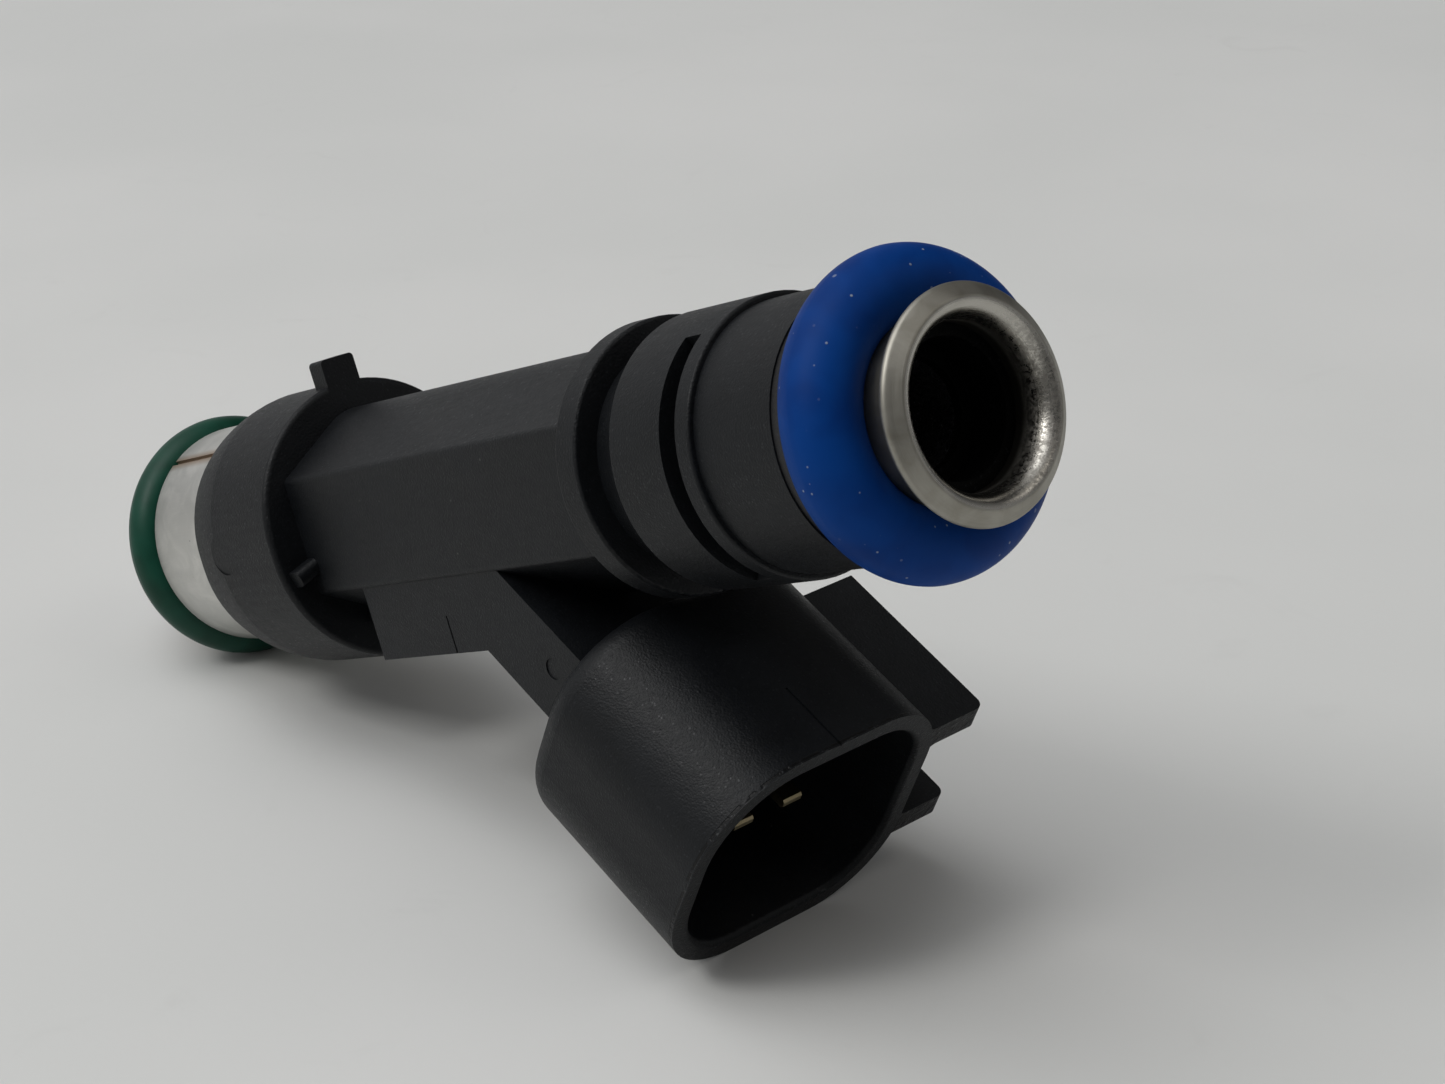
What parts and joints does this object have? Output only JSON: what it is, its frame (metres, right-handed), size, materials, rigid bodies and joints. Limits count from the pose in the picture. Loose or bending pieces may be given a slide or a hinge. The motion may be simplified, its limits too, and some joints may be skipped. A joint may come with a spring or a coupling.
{
  "type": "fuel injector",
  "caption": "Slim solenoid fuel injector with an O-ring at each end, clip slots, and a slanted two-pin connector with guide wings.",
  "frame": {"origin": "centre of the lower O-ring, on the injector axis", "axes": "+Z along the injector axis towards the fuel inlet, +Y towards the side of the connector, -X towards its guide wings"},
  "size_m": [0.0187, 0.0327, 0.0699],
  "materials": {
    "stainless": "satin drawn stainless steel",
    "housing_steel": "satin plated steel",
    "magnetic_steel": "machined",
    "black_nylon": "fine moulded texture",
    "blue_rubber": "smooth",
    "green_rubber": "smooth",
    "brown_nylon": "smooth",
    "mesh": "woven",
    "spring_steel": "drawn wire",
    "brass": "tinned",
    "copper": "enamelled wire"
  },
  "bodies": {
    "injector_body": {"valve_sleeve": "stainless", "upper_o_ring": "blue_rubber", "upper_support_ring": "black_nylon", "lower_o_ring": "green_rubber", "lower_retainer": "brown_nylon", "filter_frame": "black_nylon", "filter_mesh": "mesh", "adjusting_sleeve": "stainless", "return_spring": "spring_steel", "inner_pole": "magnetic_steel", "needle_guide": "stainless", "valve_seat": "stainless", "orifice_plate": "stainless", "coil_housing": "housing_steel", "pole_cover": "magnetic_steel", "coil_bobbin": "brown_nylon", "coil_winding": "copper", "terminal_left": "brass", "terminal_right": "brass", "body_overmould": "black_nylon"},
    "valve_group": {"armature": "magnetic_steel", "valve_needle": "stainless", "valve_ball": "stainless"}
  },
  "joints": [
    {"name": "valve_lift", "type": "slide", "parent": "injector_body", "child": "valve_group", "axis": [0, 0, 1], "range_m": [0, 0.00008], "stiffness_N_per_m": 1500, "springref_m": -0.002, "deforming": ["return_spring"]}
  ]
}
